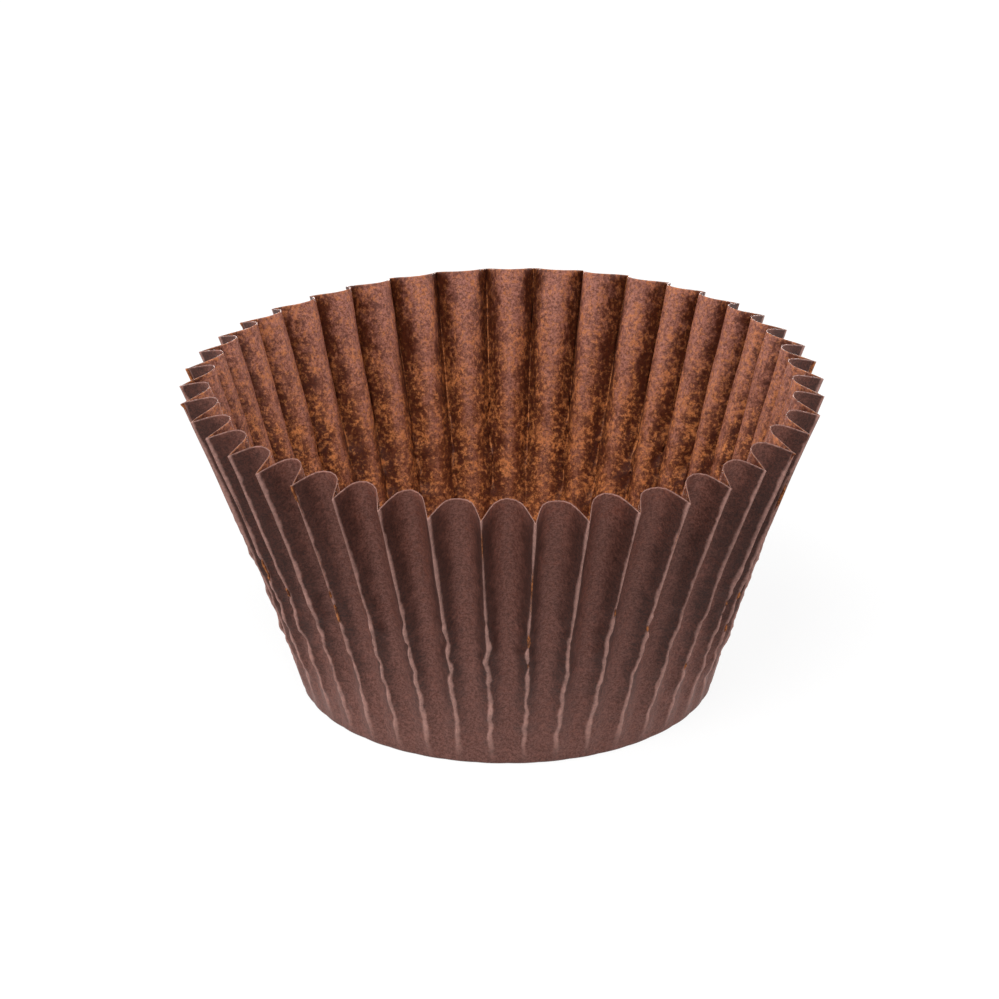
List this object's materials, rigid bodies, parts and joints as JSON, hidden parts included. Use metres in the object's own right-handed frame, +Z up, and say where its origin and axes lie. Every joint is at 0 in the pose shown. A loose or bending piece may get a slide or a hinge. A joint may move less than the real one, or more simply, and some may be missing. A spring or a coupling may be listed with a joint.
{
  "type": "cupcake liner",
  "caption": "Round baking cup of thin brown greaseproof paper, with a flat base and a flared, pleated wall, open at the top.",
  "frame": {"origin": "centre of the underside of the flat base, where the liner stands", "axes": "+Z up along the liner's axis, out of its mouth; -Y through the middle of a rounded pleat, +X to its right"},
  "size_m": [0.08, 0.0798, 0.0393],
  "materials": {
    "greaseproof_paper": "matte"
  },
  "bodies": {
    "root": {"paper_liner": "greaseproof_paper"}
  },
  "joints": []
}
